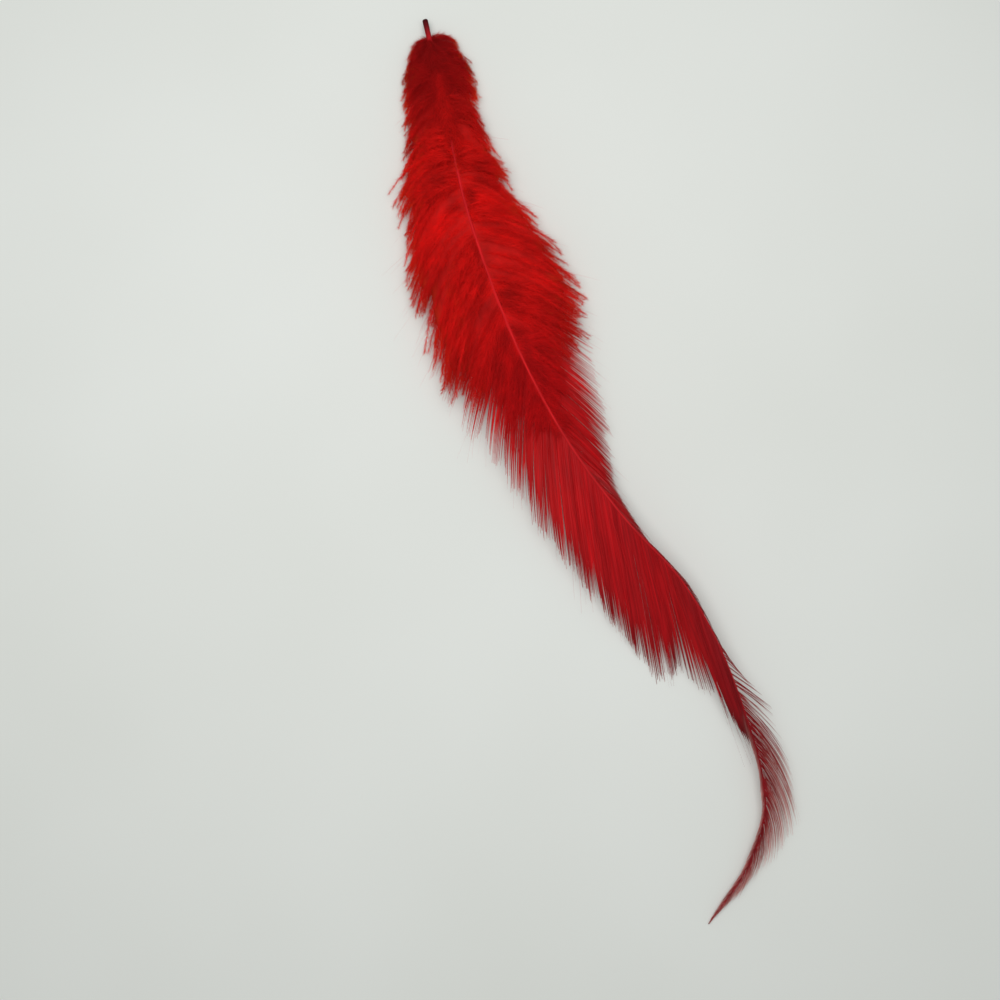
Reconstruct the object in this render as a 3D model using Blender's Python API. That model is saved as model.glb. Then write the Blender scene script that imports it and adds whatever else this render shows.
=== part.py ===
"""A loose chicken feather, dyed red, lying on a surface with its arched side up.

One piece of grown keratin: a bare quill end, a tapering shaft, soft down on the first
third, then a silky vane whose left side lies open and whose right side is rolled under,
and a curved narrow tip with a fringe on its right. Barbs cling together in pointed locks,
and here each lock is one tapered leaf of the vane, grown out of the shaft.

The frame: +Y is the quill end, +Z is up, and the surface it lies on is z = 0.
All design values are millimetres and degrees.
"""
import math

import bmesh
import bpy
import numpy as np

MM = 0.001
CENTRE = (16.5, 4.6)  # middle of the feather's outline on the drawing, put at x = y = 0

# Points that the shaft passes through, quill end first: x, y on the drawing and height z
SHAFT_POINTS = [
    (-13.1, 83.8, 1.6),
    (-10.0, 70.0, 3.0),
    (-6.1, 51.6, 4.7),
    (-1.2, 36.4, 5.8),
    (4.7, 22.4, 6.6),
    (12.6, 8.4, 7.2),
    (21.4, -3.3, 7.2),
    (31.5, -14.4, 6.6),
    (38.0, -25.9, 5.5),
    (42.4, -37.1, 4.3),
    (45.5, -47.6, 3.1),
    (46.2, -53.6, 2.4),
    (43.8, -62.7, 1.5),
    (36.6, -74.4, 0.2),
]
QUILL_RADIUS = 0.5
TIP_RADIUS = 0.17
TAPER_POWER = 0.8
BARE_QUILL = 3.3  # length without barbs at the quill end
CUT_BEVEL = 0.12
SHAFT_SIDES = 8
SHAFT_STEP = 4.0
SHAFT_END_GAP = 3.0  # the shaft's own tube stops this far short of the tip
DIRECTION_STEP = 0.5  # the shaft's direction is read this far to each side of a place

# Barbs along each side. Columns: distance along the shaft, length of the barb, lean from
# the shaft's direction at its root and at its end, and roll of that side below level
LEFT_BARBS = [
    (3.3, 5.4, 86, 48, 8),
    (7, 6.6, 88, 56, 13),
    (12, 8.0, 88, 58, 16),
    (18, 9.4, 84, 58, 17),
    (25, 12.0, 79, 57, 16),
    (33, 15.5, 73, 53, 14),
    (42, 19.0, 62, 44, 13),
    (51, 21.5, 49, 34, 14),
    (60, 22.5, 37, 25, 17),
    (70, 24.5, 30, 23, 21),
    (80, 26.5, 28, 26, 24),
    (90, 27.5, 29, 30, 25),
    (97, 27.5, 30, 33, 25),
    (102, 23.5, 30, 35, 24),
    (104.5, 22.5, 27, 30, 23),
    (107, 23.0, 23, 20, 22),
    (110, 24.0, 18.5, 14.5, 20),
    (115, 22.5, 12.5, 9, 16),
    (119, 19.0, 9.5, 7, 13),
    (123, 15.0, 7.8, 5.5, 11),
    (128, 9.5, 6, 4.5, 10),
    (136, 5.0, 7, 6, 8),
    (143, 3.2, 12, 10, 6),
    (150, 2.4, 19, 16, 5),
    (156, 2.4, 18, 15, 3),
    (162, 2.8, 14, 11, 1),
    (168, 2.6, 12, 8, 0),
    (175, 0.6, 10, 4, 0),
]
RIGHT_BARBS = [
    (3.3, 6.6, 100, 50, 8),
    (7, 6.6, 92, 56, 13),
    (12, 6.6, 85, 56, 16),
    (18, 7.6, 80, 54, 17),
    (25, 10.0, 76, 53, 16),
    (33, 14.0, 72, 51, 14),
    (42, 17.5, 62, 44, 13),
    (51, 19.5, 49, 34, 16),
    (60, 19.8, 38, 26, 26),
    (70, 16.8, 31, 22, 42),
    (80, 11.4, 28, 20, 55),
    (88, 8.8, 25, 17, 62),
    (96, 7.4, 22, 15, 74),
    (104, 6.4, 20, 14, 80),
    (112, 5.8, 20, 14, 80),
    (119, 5.4, 22, 17, 76),
    (124, 5.4, 29, 27, 50),
    (127, 6.6, 34, 32, 20),
    (130, 8.6, 33, 28, 10),
    (132.5, 12.0, 31, 15, 8),
    (135.5, 16.0, 28, 1, 8),
    (140, 16.8, 27, -6, 6),
    (147, 13.5, 25, -10, 5),
    (153, 10.5, 23, -12, 4),
    (160, 7.8, 19, -8, 2),
    (168, 4.4, 15, -3, 0),
    (175, 0.8, 12, 4, 0),
]
SIDES = {"left": (-1, LEFT_BARBS), "right": (1, RIGHT_BARBS)}

# Fluff. Columns: distance along the shaft, thickness above the barbs and below them
FLUFF = [
    (3.3, 1.2, 1.6),
    (10, 2.4, 3.2),
    (24, 3.2, 6.0),
    (45, 3.2, 7.2),
    (58, 2.0, 4.6),
    (70, 0.7, 0.8),
    (82, 0.25, 0.25),
    (175, 0.15, 0.15),
]
THINNEST = 0.12
THIN_AT_SHAFT = 0.06  # the vane beside the shaft, which stands proud of it
# How that thickness is spread from the shaft (0) to the barb's end (1)
SPREAD_AT = [0.0, 0.15, 0.4, 0.7, 1.0]
SPREAD = [0.35, 0.75, 1.0, 0.7, 0.12]

# Locks. Columns: distance along the shaft, length of shaft that one lock takes, deepest gap
# between locks as a share of the barb's length, and how far a lock's lean strays
LOCKS = [
    (3.3, 3.6, 0.30, 8),
    (50, 4.6, 0.34, 6),
    (75, 5.0, 0.30, 2),
    (120, 4.8, 0.45, 1),
    (175, 5.2, 0.45, 0),
]
LINES_PER_LOCK = 4  # gap, shoulder, middle, shoulder
RIDGE = [0.5, 0.85, 1.0, 0.85]  # share of the thickness on each of those lines
SHALLOWEST_GAP = 0.12
LOCK_WIDTH_SPREAD = 0.3
LOCK_LENGTH_SPREAD = 0.1
LOCK_THICKNESS_SPREAD = 0.2
LAST_LINE = 0.4  # distance of the last line from the tip

# Loose tufts that lie on top of the down, and a few that splay out where the vane begins.
# Columns of SPLAYED: side, distance along the shaft, share of the length, extra lean
TUFTS_FROM = 8.0
TUFTS_TO = 66.0
TUFT_SPACING = 7.0
TUFT_LENGTH = (0.6, 0.95)
TUFT_LEAN = 16
TUFT_RISE = (0.4, 1.5)
TUFT_SURFACES_AT = 0.33  # share of a tuft's length by which it has come out of the fluff
TUFT_HALF_WIDTH = 1.7
TUFT_HALF_DEPTH = 0.75
TUFT_AT = [0.03, 0.25, 0.5, 0.75, 1.0]
TUFT_TAPER = [0.6, 1.0, 0.95, 0.6]  # the last station is the point
TUFT_SIDES = 6
SPLAYED = [
    ("right", 60.0, 0.55, 48),
    ("right", 67.0, 0.45, 62),
    ("left", 70.0, 0.5, 26),
    ("right", 74.0, 0.5, 30),
]
SEED = 11

DYED_KERATIN = (0.42, 0.012, 0.014, 1.0)
KERATIN_ROUGHNESS = 0.45


def clear_scene():
    for thing in list(bpy.data.objects):
        bpy.data.objects.remove(thing)


def columns(table):
    """The first column of a table, and the rest of it."""
    return [row[0] for row in table], [row[1:] for row in table]


def smooth(knots, values, at):
    """The smooth curve through values at knots, read at one place."""
    knots = np.asarray(knots, float)
    values = np.asarray(values, float)
    slopes = np.gradient(values, knots, axis=0)
    low = int(np.clip(np.searchsorted(knots, at) - 1, 0, len(knots) - 2))
    span = knots[low + 1] - knots[low]
    u = min(max((at - knots[low]) / span, 0.0), 1.0)
    start = (2 * u**3 - 3 * u**2 + 1) * values[low] + (u**3 - 2 * u**2 + u) * span * slopes[low]
    end = (3 * u**2 - 2 * u**3) * values[low + 1] + (u**3 - u**2) * span * slopes[low + 1]
    return start + end


SHAFT = np.array(SHAFT_POINTS) - (*CENTRE, 0.0)
STATIONS = np.append(0.0, np.cumsum(np.linalg.norm(np.diff(SHAFT, axis=0), axis=1)))
LENGTH = float(STATIONS[-1])


def shaft_frame(station):
    """Place on the shaft, its direction towards the tip, and the level way to its right."""
    place = smooth(STATIONS, SHAFT, station)
    ahead = smooth(STATIONS, SHAFT, min(station + DIRECTION_STEP, LENGTH))
    behind = smooth(STATIONS, SHAFT, max(station - DIRECTION_STEP, 0.0))
    forward = (ahead - behind) / np.linalg.norm(ahead - behind)
    right = np.cross((0.0, 0.0, 1.0), forward)
    return place, forward, right / np.linalg.norm(right)


def shaft_radius(station):
    return QUILL_RADIUS + (TIP_RADIUS - QUILL_RADIUS) * (station / LENGTH) ** TAPER_POWER


def read(table, station):
    """The values of a table, smoothly between its rows."""
    return smooth(*columns(table), station)


def barb_point(side, station, along, length_share, extra_lean):
    """A place along one barb, from 0 at the shaft to 1, and the way up from the vane."""
    sign, table = SIDES[side]
    length, root_lean, end_lean, roll = read(table, station)
    place, forward, right = shaft_frame(station)
    roll = math.radians(roll)
    outward = right * sign * math.cos(roll) - np.array((0.0, 0.0, math.sin(roll)))
    root, end = (
        forward * math.cos(math.radians(lean)) + outward * math.sin(math.radians(lean))
        for lean in (root_lean + extra_lean, end_lean + extra_lean)
    )
    along = along * length_share
    place = place + length / 2 * ((2 * along - along**2) * root + along**2 * end)
    up = np.cross(forward, outward) * sign
    return place, up / np.linalg.norm(up)


def line_stations(rng):
    """Stations of the lines that the locks are drawn on, LINES_PER_LOCK for each lock."""
    stations = [BARE_QUILL]
    while stations[-1] < LENGTH - LAST_LINE:
        width = read(LOCKS, stations[-1])[0]
        width *= 1 + rng.uniform(-LOCK_WIDTH_SPREAD, LOCK_WIDTH_SPREAD)
        begun = stations[-1]
        stations += [begun + width * line / LINES_PER_LOCK for line in range(1, LINES_PER_LOCK + 1)]
    stations = [station for station in stations if station < LENGTH - LAST_LINE]
    return [*stations, LENGTH - LAST_LINE]


def lock_lines(stations, rng):
    """For each line of one side: share of the barb's length, extra lean, share of thickness."""
    count = len(stations) // LINES_PER_LOCK + 3
    tips = 1 + rng.uniform(-LOCK_LENGTH_SPREAD, LOCK_LENGTH_SPREAD, count)
    thick = 1 + rng.uniform(-LOCK_THICKNESS_SPREAD, LOCK_THICKNESS_SPREAD, count)
    depth, stray = rng.uniform(0, 1, count), rng.uniform(-1, 1, count)
    first = int(rng.integers(LINES_PER_LOCK))
    lines = []
    for number, station in enumerate(stations, first):
        lock, line = divmod(number, LINES_PER_LOCK)
        _, deepest, most_stray = read(LOCKS, station)
        near_gap = lock + (line == LINES_PER_LOCK - 1)
        gap = 1 - SHALLOWEST_GAP - (deepest - SHALLOWEST_GAP) * depth[near_gap]
        middle = tips[lock]
        share = {0: gap, LINES_PER_LOCK // 2: middle}.get(line, (gap + 2 * middle) / 3)
        lean = most_stray * np.interp(number / LINES_PER_LOCK, np.arange(count) + 0.5, stray)
        lines.append((share, lean, RIDGE[line] * thick[lock]))
    return lines


def rib(side, station, line):
    """Upper and lower points of one line, from the shaft out to the end of the barb."""
    share, lean, ridge = line
    above, below = read(FLUFF, station)
    upper, lower = [], []
    for along, thick in zip(SPREAD_AT, SPREAD):
        place, up = barb_point(side, station, along, share, lean)
        thinnest = THINNEST
        if along == 0.0:
            up = np.array((0.0, 0.0, 1.0))
            thinnest = THIN_AT_SHAFT
        else:
            thick *= ridge
        place[2] = max(place[2], THINNEST)
        top = place + up * max(above * thick, thinnest)
        bottom = place - up * max(below * thick, thinnest)
        bottom[2] = max(bottom[2], 0.0)
        top[2] = max(top[2], bottom[2] + THINNEST)
        upper.append(top)
        lower.append(bottom)
    return upper, lower


def build_vanes():
    """Both sides of the feather as one closed leaf with a pointed edge."""
    rng = np.random.default_rng(SEED)
    stations = line_stations(rng)
    patterns = {side: lock_lines(stations, rng) for side in SIDES}
    mesh = bmesh.new()
    rows = []
    for number, station in enumerate(stations):
        left = rib("left", station, patterns["left"][number])
        right = rib("right", station, patterns["right"][number])
        rows.append([
            [mesh.verts.new(point * MM) for point in (*reversed(left[layer]), *right[layer][1:])]
            for layer in (0, 1)
        ])
    last = len(rows[0][0]) - 1
    for near, far in zip(rows, rows[1:]):
        for layer in (0, 1):
            for a in range(last):
                mesh.faces.new((near[layer][a], near[layer][a + 1], far[layer][a + 1], far[layer][a]))
        for edge in (0, last):
            mesh.faces.new((near[0][edge], far[0][edge], far[1][edge], near[1][edge]))
    for row in (rows[0], rows[-1]):
        for a in range(last):
            mesh.faces.new((row[0][a], row[0][a + 1], row[1][a + 1], row[1][a]))
    return finish("feather", mesh)


def build_shaft():
    """The shaft as a tapering tube with a cut end, for joining to the vanes."""
    mesh = bmesh.new()
    count = round((LENGTH - SHAFT_END_GAP) / SHAFT_STEP)
    stations = [0.0, CUT_BEVEL, *np.linspace(SHAFT_STEP / 2, LENGTH - SHAFT_END_GAP, count)]
    rings = []
    for station in stations:
        place, forward, right = shaft_frame(station)
        up = np.cross(forward, right)
        radius = shaft_radius(station) - (CUT_BEVEL if station == 0.0 else 0.0)
        ring = []
        for side in range(SHAFT_SIDES):
            turn = 2 * math.pi * (side + 0.5) / SHAFT_SIDES
            point = place + radius * (right * math.cos(turn) + up * math.sin(turn))
            ring.append(mesh.verts.new(point * MM))
        rings.append(ring)
    for near, far in zip(rings, rings[1:]):
        for a in range(SHAFT_SIDES):
            b = (a + 1) % SHAFT_SIDES
            mesh.faces.new((near[a], near[b], far[b], far[a]))
    mesh.faces.new(rings[0])
    mesh.faces.new(rings[-1])
    return finish("shaft_form", mesh)


def build_tuft(name, side, station, share, extra_lean, rise):
    """A flat pointed tuft that leaves the shaft inside the fluff and ends above it."""
    mesh = bmesh.new()
    above, _ = read(FLUFF, station)
    middles = []
    for along in TUFT_AT:
        place, up = barb_point(side, station, along, share, extra_lean)
        fluff = above * float(np.interp(along * share, SPREAD_AT, SPREAD))
        middles.append(place + up * (fluff * min(1.0, along / TUFT_SURFACES_AT) + rise * along))
    rings = []
    for number, taper in enumerate(TUFT_TAPER):
        way = middles[number + 1] - middles[max(number - 1, 0)]
        flat = np.cross(way, up)
        flat /= np.linalg.norm(flat)
        ring = []
        for corner in range(TUFT_SIDES):
            turn = 2 * math.pi * corner / TUFT_SIDES
            across = flat * TUFT_HALF_WIDTH * math.cos(turn) + up * TUFT_HALF_DEPTH * math.sin(turn)
            ring.append(mesh.verts.new((middles[number] + across * taper) * MM))
        rings.append(ring)
    point = mesh.verts.new(middles[-1] * MM)
    pairs = [(corner, (corner + 1) % TUFT_SIDES) for corner in range(TUFT_SIDES)]
    for near, far in zip(rings, rings[1:]):
        for a, b in pairs:
            mesh.faces.new((near[a], near[b], far[b], far[a]))
    for a, b in pairs:
        mesh.faces.new((rings[-1][a], rings[-1][b], point))
    mesh.faces.new(rings[0])
    return finish(name, mesh)


def build_tufts():
    rng = np.random.default_rng(SEED + 1)
    tufts = []
    for station in np.arange(TUFTS_FROM, TUFTS_TO, TUFT_SPACING):
        for side in SIDES:
            place = station + rng.uniform(0, TUFT_SPACING)
            lean = rng.uniform(-TUFT_LEAN, TUFT_LEAN)
            share, rise = rng.uniform(*TUFT_LENGTH), rng.uniform(*TUFT_RISE)
            tufts.append(build_tuft(f"tuft_{len(tufts)}", side, place, share, lean, rise))
    for side, station, share, lean in SPLAYED:
        tufts.append(build_tuft(f"tuft_{len(tufts)}", side, station, share, lean, TUFT_RISE[1]))
    return tufts


def finish(name, mesh):
    """Puts a bmesh in the scene as an object, with its faces pointing out."""
    bmesh.ops.recalc_face_normals(mesh, faces=mesh.faces)
    data = bpy.data.meshes.new(name)
    mesh.to_mesh(data)
    mesh.free()
    thing = bpy.data.objects.new(name, data)
    bpy.context.scene.collection.objects.link(thing)
    return thing


def dyed_keratin():
    material = bpy.data.materials.new("dyed_keratin")
    material.use_nodes = True
    shader = material.node_tree.nodes["Principled BSDF"]
    shader.inputs["Base Color"].default_value = DYED_KERATIN
    shader.inputs["Roughness"].default_value = KERATIN_ROUGHNESS
    shader.inputs["Metallic"].default_value = 0.0
    return material


def main():
    clear_scene()
    feather = build_vanes()
    feather.data.materials.append(dyed_keratin())
    grown_on = bpy.data.collections.new("grown_on")
    bpy.context.scene.collection.children.link(grown_on)
    for form in (build_shaft(), *build_tufts()):
        bpy.context.scene.collection.objects.unlink(form)
        grown_on.objects.link(form)
        form.hide_render = True
        form.display_type = "WIRE"
    union = feather.modifiers.new("grown_on", "BOOLEAN")
    union.operation = "UNION"
    union.solver = "EXACT"
    union.operand_type = "COLLECTION"
    union.collection = grown_on


main()
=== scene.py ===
# %% [markdown]
# # A dyed chicken feather, grown barb by barb
#
# A feather is one piece of keratin: a hollow quill, a tapering shaft, and some hundreds of
# barbs on each side of it. Near the quill the barbs are downy, because their own side
# branches (barbules) are long and loose. Further out the barbules hook the barbs together
# into a smooth vane. This lesson makes each of those parts at its real size, around the
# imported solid, and dyes them red.

# %% Load the frame
import math

import bmesh
import bpy
import numpy as np
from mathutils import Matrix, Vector


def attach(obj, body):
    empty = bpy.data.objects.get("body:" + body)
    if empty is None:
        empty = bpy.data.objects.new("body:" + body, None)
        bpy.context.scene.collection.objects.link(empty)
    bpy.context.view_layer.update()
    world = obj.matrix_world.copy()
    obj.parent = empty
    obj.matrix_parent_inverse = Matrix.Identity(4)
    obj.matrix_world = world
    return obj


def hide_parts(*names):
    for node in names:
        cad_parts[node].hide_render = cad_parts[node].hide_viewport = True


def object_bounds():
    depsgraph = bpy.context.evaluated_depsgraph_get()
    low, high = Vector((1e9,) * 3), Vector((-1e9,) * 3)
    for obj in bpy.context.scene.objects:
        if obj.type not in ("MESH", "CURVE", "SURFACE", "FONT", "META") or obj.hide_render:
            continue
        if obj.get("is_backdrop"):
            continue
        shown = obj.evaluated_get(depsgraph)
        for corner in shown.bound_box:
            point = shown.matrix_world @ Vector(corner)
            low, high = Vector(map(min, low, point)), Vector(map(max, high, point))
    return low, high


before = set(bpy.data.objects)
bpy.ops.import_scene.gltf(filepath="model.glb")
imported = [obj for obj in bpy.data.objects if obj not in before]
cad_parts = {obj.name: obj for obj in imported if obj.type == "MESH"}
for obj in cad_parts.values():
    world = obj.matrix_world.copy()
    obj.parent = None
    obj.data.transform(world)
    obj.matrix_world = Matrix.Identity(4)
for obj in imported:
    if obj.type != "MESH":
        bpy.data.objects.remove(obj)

cad_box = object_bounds()
print("packed solid, mm:", [[round(value * 1000, 1) for value in corner] for corner in cad_box])

# %% [markdown]
# ## The shaft's path and the barbs' plan
#
# The real feather is fixed by a few things: where its shaft runs, how long the barbs are
# along it, how far they lean towards the tip, and how far each side rolls down. The packed
# solid was built from these values, so the same values place every barb here. They could
# be drawn as curves by hand, but short tables read through one smooth function stay easy
# to check against a ruler. All of them are millimetres and degrees.

# %% The shaft's path
MM = 0.001
CENTRE = (16.5, 4.6)  # the place in the drawing that becomes the origin
# Points that the shaft passes, from the quill's end to the tip: right, up the page, height
SHAFT_POINTS = [
    (-13.1, 83.8, 1.6),
    (-10.0, 70.0, 3.0),
    (-6.1, 51.6, 4.7),
    (-1.2, 36.4, 5.8),
    (4.7, 22.4, 6.6),
    (12.6, 8.4, 7.2),
    (21.4, -3.3, 7.2),
    (31.5, -14.4, 6.6),
    (38.0, -25.9, 5.5),
    (42.4, -37.1, 4.3),
    (45.5, -47.6, 3.1),
    (46.2, -53.6, 2.4),
    (43.8, -62.7, 1.5),
    (36.6, -74.4, 0.2),
]

# %% Barbs on the left
# Columns: distance along the shaft, barb length, lean at the root and at the end, roll
LEFT_BARBS = [
    (3.3, 5.4, 86, 48, 8),
    (7, 6.6, 88, 56, 13),
    (12, 8.0, 88, 58, 16),
    (18, 9.4, 84, 58, 17),
    (25, 12.0, 79, 57, 16),
    (33, 15.5, 73, 53, 14),
    (42, 19.0, 62, 44, 13),
    (51, 21.5, 49, 34, 14),
    (60, 22.5, 37, 25, 17),
    (70, 24.5, 30, 23, 21),
    (80, 26.5, 28, 26, 24),
    (90, 27.5, 29, 30, 25),
    (97, 27.5, 30, 33, 25),
    (102, 23.5, 30, 35, 24),
    (104.5, 22.5, 27, 30, 23),
    (107, 23.0, 23, 20, 22),
    (110, 24.0, 18.5, 14.5, 20),
    (115, 22.5, 12.5, 9, 16),
    (119, 19.0, 9.5, 7, 13),
    (123, 15.0, 7.8, 5.5, 11),
    (128, 9.5, 6, 4.5, 10),
    (136, 5.0, 7, 6, 8),
    (143, 3.2, 12, 10, 6),
    (150, 2.4, 19, 16, 5),
    (156, 2.4, 18, 15, 3),
    (162, 2.8, 14, 11, 1),
    (168, 2.6, 12, 8, 0),
    (175, 0.6, 10, 4, 0),
]

# %% Barbs on the right, in the same columns
RIGHT_BARBS = [
    (3.3, 6.6, 100, 50, 8),
    (7, 6.6, 92, 56, 13),
    (12, 6.6, 85, 56, 16),
    (18, 7.6, 80, 54, 17),
    (25, 10.0, 76, 53, 16),
    (33, 14.0, 72, 51, 14),
    (42, 17.5, 62, 44, 13),
    (51, 19.5, 49, 34, 16),
    (60, 19.8, 38, 26, 26),
    (70, 16.8, 31, 22, 42),
    (80, 11.4, 28, 20, 55),
    (88, 8.8, 25, 17, 62),
    (96, 7.4, 22, 15, 74),
    (104, 6.4, 20, 14, 80),
    (112, 5.8, 20, 14, 80),
    (119, 5.4, 22, 17, 76),
    (124, 5.4, 29, 27, 50),
    (127, 6.6, 34, 32, 20),
    (130, 8.6, 33, 28, 10),
    (132.5, 12.0, 31, 15, 8),
    (135.5, 16.0, 28, 1, 8),
    (140, 16.8, 27, -6, 6),
    (147, 13.5, 25, -10, 5),
    (153, 10.5, 23, -12, 4),
    (160, 7.8, 19, -8, 2),
    (168, 4.4, 15, -3, 0),
    (175, 0.8, 12, 4, 0),
]
SIDES = {"left": (-1, LEFT_BARBS), "right": (1, RIGHT_BARBS)}

# %% Reading a table at any place on the shaft
UP = np.array((0.0, 0.0, 1.0))


def smooth(knots, values, at):
    """Smooth curves through the rows of values at knots, read at each place in at."""
    knots, values, at = np.asarray(knots, float), np.asarray(values, float), np.atleast_1d(at)
    slopes = np.gradient(values, knots, axis=0)
    low = np.clip(np.searchsorted(knots, at) - 1, 0, len(knots) - 2)
    span = (knots[low + 1] - knots[low])[:, None]
    u = np.clip((at - knots[low])[:, None] / span, 0, 1)
    start = (2 * u**3 - 3 * u**2 + 1) * values[low] + (u**3 - 2 * u**2 + u) * span * slopes[low]
    end = (3 * u**2 - 2 * u**3) * values[low + 1] + (u**3 - u**2) * span * slopes[low + 1]
    return start + end


def read(table, at):
    """All columns of a table but its first, which is the distance along the shaft."""
    return smooth([row[0] for row in table], [row[1:] for row in table], at)


def unit(vectors):
    """The same directions, each 1 long."""
    return vectors / np.linalg.norm(vectors, axis=-1, keepdims=True)


SHAFT = np.array(SHAFT_POINTS) - (*CENTRE, 0.0)
STATIONS = np.append(0.0, np.cumsum(np.linalg.norm(np.diff(SHAFT, axis=0), axis=1)))
LENGTH = float(STATIONS[-1])
print("shaft length, mm:", round(LENGTH, 1))

# %% [markdown]
# ## Locks
#
# Barbs cling together in pointed locks: the barbs between two locks are shorter, and the
# ends of a lock's barbs are drawn to its middle. The locks could be painted as dark gaps,
# but then the outline would stay smooth, so they change the barbs themselves. The same seed
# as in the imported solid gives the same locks, so the fine barbs fill the outline of the
# coarse ones.

# %% Values for the locks
# Columns: distance along the shaft, width of a lock, deepest gap, stray of the lean
LOCKS = [
    (3.3, 3.6, 0.30, 8),
    (50, 4.6, 0.34, 6),
    (75, 5.0, 0.30, 2),
    (120, 4.8, 0.45, 1),
    (175, 5.2, 0.45, 0),
]
BARE_QUILL = 3.3  # the first barbs grow this far from the quill's end
LAST_LINE = 0.4  # and the last lock ends this far from the tip
LINES_PER_LOCK = 4
RIDGE = [0.5, 0.85, 1.0, 0.85]  # how thick a lock is at each of its lines
SHALLOWEST_GAP = 0.12
LOCK_WIDTH_SPREAD = 0.3
LOCK_LENGTH_SPREAD = 0.1
LOCK_THICKNESS_SPREAD = 0.2
SEED = 11


# %% Locks
def line_stations(rng):
    stations = [BARE_QUILL]
    while stations[-1] < LENGTH - LAST_LINE:
        width = read(LOCKS, stations[-1])[0, 0]
        width *= 1 + rng.uniform(-LOCK_WIDTH_SPREAD, LOCK_WIDTH_SPREAD)
        begun = stations[-1]
        stations += [begun + width * line / LINES_PER_LOCK for line in range(1, LINES_PER_LOCK + 1)]
    stations = [station for station in stations if station < LENGTH - LAST_LINE]
    return [*stations, LENGTH - LAST_LINE]


def lock_lines(stations, rng):
    """Per line of one side: station, share of length, extra lean, ridge, middle of its lock."""
    count = len(stations) // LINES_PER_LOCK + 3
    tips = 1 + rng.uniform(-LOCK_LENGTH_SPREAD, LOCK_LENGTH_SPREAD, count)
    thick = 1 + rng.uniform(-LOCK_THICKNESS_SPREAD, LOCK_THICKNESS_SPREAD, count)
    depth, stray = rng.uniform(0, 1, count), rng.uniform(-1, 1, count)
    first = int(rng.integers(LINES_PER_LOCK))
    rows = []
    for number, station in enumerate(stations, first):
        lock, line = divmod(number, LINES_PER_LOCK)
        _, deepest, most_stray = read(LOCKS, station)[0]
        near_gap = lock + (line == LINES_PER_LOCK - 1)
        gap = 1 - SHALLOWEST_GAP - (deepest - SHALLOWEST_GAP) * depth[near_gap]
        share = {0: gap, LINES_PER_LOCK // 2: tips[lock]}.get(line, (gap + 2 * tips[lock]) / 3)
        lean = most_stray * np.interp(number / LINES_PER_LOCK, np.arange(count) + 0.5, stray)
        rows.append((station, share, lean, RIDGE[line] * thick[lock], lock))
    rows = np.array(rows)
    middles = np.array([rows[rows[:, 4] == lock, 0].mean() for lock in rows[:, 4]])
    return np.column_stack([rows[:, :4], middles])


lock_rng = np.random.default_rng(SEED)
lock_stations = line_stations(lock_rng)
LOCK_LINES = {side: lock_lines(lock_stations, lock_rng) for side in SIDES}


def lock_at(side, stations):
    """Share of length, extra lean, ridge and lock's middle for barbs at these stations."""
    lines = LOCK_LINES[side]
    share, lean, ridge = (np.interp(stations, lines[:, 0], lines[:, c]) for c in (1, 2, 3))
    nearest = np.clip(np.searchsorted(lines[:, 0], stations, "right") - 1, 0, len(lines) - 1)
    return share, lean, ridge, lines[nearest, 4]


print("locks a side:", len(lock_stations) // LINES_PER_LOCK)

# %% [markdown]
# ## Where each barb starts, bends and ends
#
# A barb leaves the shaft at one angle and ends at another, so it is one quadratic curve
# with three control points. More points would allow more bends, but a real barb has one.

# %% Barb curves
DIRECTION_STEP = 0.5  # how far ahead and behind the shaft's direction is measured


def shaft_frame(stations):
    """Places on the shaft, its direction towards the tip, and the level way to its right."""
    place = smooth(STATIONS, SHAFT, stations)
    ahead = smooth(STATIONS, SHAFT, np.minimum(stations + DIRECTION_STEP, LENGTH))
    behind = smooth(STATIONS, SHAFT, np.maximum(stations - DIRECTION_STEP, 0.0))
    forward = unit(ahead - behind)
    return place, forward, unit(np.cross(UP, forward))


def barb_curves(side, stations, share, lean, roll=0.0, sweep=1.0, extra=0.0):
    """Start, bend and end of each barb, and the way up from the vane at its root.

    A share under 1 stops a barb earlier on its way. A sweep under 1 turns its end towards the
    tip, and lengthens it to reach as far out.
    """
    sign, table = SIDES[side]
    length, root_lean, end_lean, table_roll = read(table, stations).T
    length = length + extra
    reach = np.sin(np.radians(root_lean)) + np.sin(np.radians(end_lean))
    end_lean = end_lean * sweep
    length = length * reach / (np.sin(np.radians(root_lean)) + np.sin(np.radians(end_lean)))
    place, forward, right = shaft_frame(stations)
    turn = np.radians(table_roll + roll)[:, None]
    outward = right * sign * np.cos(turn) - np.sin(turn) * UP
    root, end = (
        forward * np.cos(np.radians(angle + lean))[:, None]
        + outward * np.sin(np.radians(angle + lean))[:, None]
        for angle in (root_lean, end_lean)
    )
    half = (length / 2)[:, None]
    cut = np.asarray(share)[:, None]
    bend = place + half * cut * root
    end = place + half * ((2 * cut - cut**2) * root + cut**2 * end)
    return place, bend, end, unit(np.cross(forward, outward) * sign)


def drawn_in(curves, middle_curves, pull):
    """How far sideways each barb's end is drawn to the middle of its lock."""
    start, _, end, _ = curves
    way = unit(end - start)
    aside = middle_curves[2] - end
    aside = aside - way * (aside * way).sum(axis=1, keepdims=True)
    return aside * np.broadcast_to(pull, len(start))[:, None]


# %% [markdown]
# ## One tree for every strip of keratin
#
# A barb, a barbule and a stray hair are the same thing at different sizes: a flat strip
# that follows a curve and thins to a point. So one Geometry Nodes tree serves them all. It is
# built twice, for strips with a crease and for the plain points that barbules are. It puts a
# strip on each point of a mesh, realizes it, and then bends it along the curve that the point
# carries in its attributes. Hair curves would be quicker to draw, but they are lost in an
# export, and real strips catch the light as real barbs do.

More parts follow.
